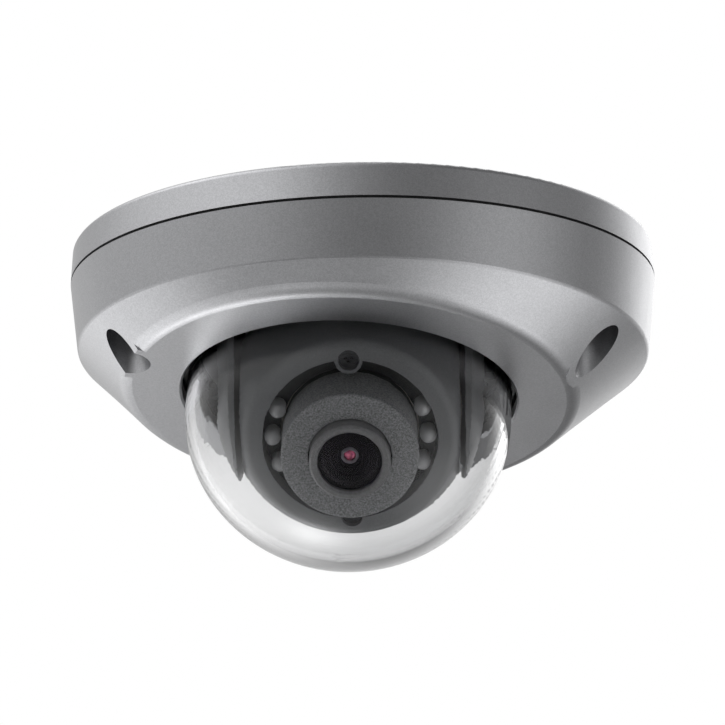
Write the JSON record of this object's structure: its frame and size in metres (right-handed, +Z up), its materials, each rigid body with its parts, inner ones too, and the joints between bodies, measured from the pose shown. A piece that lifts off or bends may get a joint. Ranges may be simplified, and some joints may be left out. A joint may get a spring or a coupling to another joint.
{
  "type": "dome surveillance camera",
  "caption": "Round ceiling camera with a sloping metal cover, a clear dome and a lens ball that pans, tilts and rolls inside it.",
  "frame": {"origin": "centre of the round face that meets the ceiling", "axes": "+Z up into the ceiling, -Y towards the low front of the sloping ring, +X to the right as seen from behind the camera's low front looking towards +Y"},
  "size_m": [0.11, 0.11, 0.0622],
  "materials": {
    "silver_paint": "satin silver-grey metallic paint",
    "screw_steel": "turned, lightly oiled",
    "black_screw": "black oxide",
    "spring_steel": "stamped",
    "clear_dome": "clear hard-coated polycarbonate",
    "seal_rubber": "matte",
    "turret_plastic": "fine moulded grain",
    "shield_plastic": "grained face, satin side",
    "frame_plastic": "black moulding",
    "lens_metal": "grey anodised",
    "lens_glass": "coated",
    "filter_glass": "flat polished",
    "infrared_glass": "infrared-blocking coating",
    "lamp_clear": "clear epoxy",
    "board_green": "solder mask",
    "board_black": "black solder mask",
    "chip_black": "moulded package",
    "sink_black": "black anodised",
    "can_aluminium": "sleeved can",
    "brass_post": "turned",
    "washer_nylon": "natural acetal",
    "socket_ivory": "moulded",
    "coil_copper": "enamelled copper winding",
    "button_red": "moulded"
  },
  "bodies": {
    "base": {"base_plate": "silver_paint", "cable_grommet": "seal_rubber", "cover_seal": "seal_rubber", "cover": "silver_paint", "cover_screws": "screw_steel", "screw_clips": "spring_steel", "dome": "clear_dome", "dome_gasket": "seal_rubber", "dome_retainer": "frame_plastic", "retainer_screws": "screw_steel", "pan_base": "frame_plastic", "pan_base_screws": "screw_steel", "pan_washer": "washer_nylon", "pan_screw": "screw_steel", "main_board": "board_green", "board_standoffs": "brass_post", "board_screws": "screw_steel", "main_processor": "chip_black", "heat_sink": "sink_black", "capacitors": "can_aluminium", "network_socket": "socket_ivory", "power_socket": "frame_plastic", "card_socket": "spring_steel", "lead_socket": "socket_ivory", "reset_switch": "frame_plastic"},
    "yoke": {"yoke": "turret_plastic"},
    "ball": {"pivot_screws": "screw_steel", "friction_washers": "washer_nylon", "ball_front": "turret_plastic", "ball_rear": "turret_plastic", "ball_screws": "black_screw", "led_board": "board_black", "leds": "lamp_clear"},
    "lens_module": {"module_carrier": "frame_plastic", "roll_clip": "washer_nylon", "light_shield": "shield_plastic", "lens_barrel": "lens_metal", "lens_ring": "lens_metal", "front_lens": "lens_glass", "rear_lenses": "lens_glass", "lens_lock_ring": "lens_metal", "lens_holder": "frame_plastic", "filter_coil": "coil_copper", "sensor_board": "board_green", "image_sensor": "chip_black", "sensor_glass": "filter_glass", "sensor_screws": "screw_steel", "sensor_socket": "socket_ivory"},
    "filter": {"filter_slide": "frame_plastic", "clear_filter": "filter_glass", "infrared_filter": "infrared_glass"},
    "button": {"reset_button": "button_red"}
  },
  "joints": [
    {"name": "pan", "type": "hinge", "parent": "base", "child": "yoke", "pos_m": [0, -0.01, -0.006], "axis": [0, 0, 1], "range_deg": [-43.6, 16.4]},
    {"name": "tilt", "type": "hinge", "parent": "yoke", "child": "ball", "pos_m": [0, -0.01, -0.032], "axis": [0.972, 0.2351, 0], "range_deg": [-24.5, 50.3]},
    {"name": "roll", "type": "hinge", "parent": "ball", "child": "lens_module", "pos_m": [0, -0.01, -0.032], "axis": [0.181, -0.7484, -0.6381], "range_deg": [-175, 175]},
    {"name": "filter_shift", "type": "slide", "parent": "lens_module", "child": "filter", "axis": [0.972, 0.2351, 0], "range_m": [0, 0.006]},
    {"name": "reset_press", "type": "slide", "parent": "base", "child": "button", "axis": [0, 0, 1], "range_m": [0, 0.00035], "stiffness_N_per_m": 500}
  ]
}
